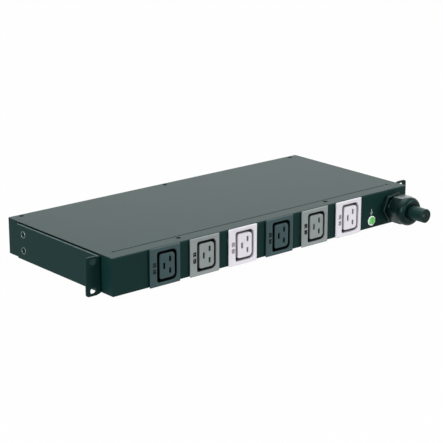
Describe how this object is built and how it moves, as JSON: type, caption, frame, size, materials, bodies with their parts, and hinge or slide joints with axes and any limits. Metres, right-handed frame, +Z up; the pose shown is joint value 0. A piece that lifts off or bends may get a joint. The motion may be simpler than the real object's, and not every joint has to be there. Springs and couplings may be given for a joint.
{
  "type": "rack power distribution unit",
  "caption": "Flat rack-mount power distribution unit with a row of colour-coded outlets, an earth screw and a cable gland holding a short cut mains cable.",
  "frame": {"origin": "middle of the four rack slots, on the front plane of the rack ears", "axes": "+X to the right seen from the front, +Y into the rack, +Z up"},
  "size_m": [0.4826, 0.2515, 0.0435],
  "materials": {
    "case_paint": "fine textured powder coat",
    "black_outlet": "satin moulding",
    "grey_outlet": "satin moulding",
    "white_outlet": "satin moulding",
    "outlet_back": "satin moulding",
    "contact_brass": "bright pressed",
    "wire_sleeve": "satin sleeve",
    "zinc_steel": "bright zinc plated",
    "black_screw": "black zinc plated",
    "green_screw": "glossy green coat",
    "tinned_lug": "bright tin plated",
    "gland_green": "semi-gloss moulding",
    "gland_rubber": "soft black rubber",
    "cable_sheath": "semi-matte cable sheath",
    "cable_filler": "fibrous filler",
    "terminal_plastic": "natural polyamide",
    "earth_wire": "green and yellow insulation",
    "neutral_wire": "blue insulation",
    "brown_wire": "brown insulation",
    "black_wire": "black insulation",
    "grey_wire": "grey insulation"
  },
  "bodies": {
    "root": {"case": "case_paint", "lid": "case_paint", "rack_bracket_left": "case_paint", "rack_bracket_right": "case_paint", "outlet_1_bezel": "black_outlet", "outlet_1_core": "black_outlet", "outlet_1_back": "outlet_back", "outlet_1_contacts": "contact_brass", "outlet_2_bezel": "grey_outlet", "outlet_2_core": "grey_outlet", "outlet_2_back": "outlet_back", "outlet_2_contacts": "contact_brass", "outlet_3_bezel": "white_outlet", "outlet_3_core": "white_outlet", "outlet_3_back": "outlet_back", "outlet_3_contacts": "contact_brass", "outlet_4_bezel": "black_outlet", "outlet_4_core": "black_outlet", "outlet_4_back": "outlet_back", "outlet_4_contacts": "contact_brass", "outlet_5_bezel": "grey_outlet", "outlet_5_core": "grey_outlet", "outlet_5_back": "outlet_back", "outlet_5_contacts": "contact_brass", "outlet_6_bezel": "white_outlet", "outlet_6_core": "white_outlet", "outlet_6_back": "outlet_back", "outlet_6_contacts": "contact_brass", "push_on_sleeves": "wire_sleeve", "lid_screws": "black_screw", "bracket_screws_left": "black_screw", "bracket_screws_right": "black_screw", "lid_nuts": "zinc_steel", "bracket_nuts": "zinc_steel", "earth_washer": "zinc_steel", "earth_nut": "zinc_steel", "terminal_clamp_screws": "zinc_steel", "terminal_block_screws": "zinc_steel", "earth_screw": "green_screw", "earth_lug": "tinned_lug", "gland_body": "gland_green", "gland_locknut": "gland_green", "gland_dome_nut": "gland_green", "gland_seal": "gland_rubber", "gland_rubber": "gland_rubber", "cable_jacket": "cable_sheath", "cable_filler": "cable_filler", "terminal_block": "terminal_plastic", "wire_saddles": "terminal_plastic", "terminal_bars": "contact_brass", "earth_wiring": "earth_wire", "earth_core": "earth_wire", "neutral_wiring": "neutral_wire", "neutral_core": "neutral_wire", "line_1_wiring": "brown_wire", "line_1_core": "brown_wire", "line_2_wiring": "black_wire", "line_2_core": "black_wire", "line_3_wiring": "grey_wire", "line_3_core": "grey_wire"}
  },
  "joints": []
}
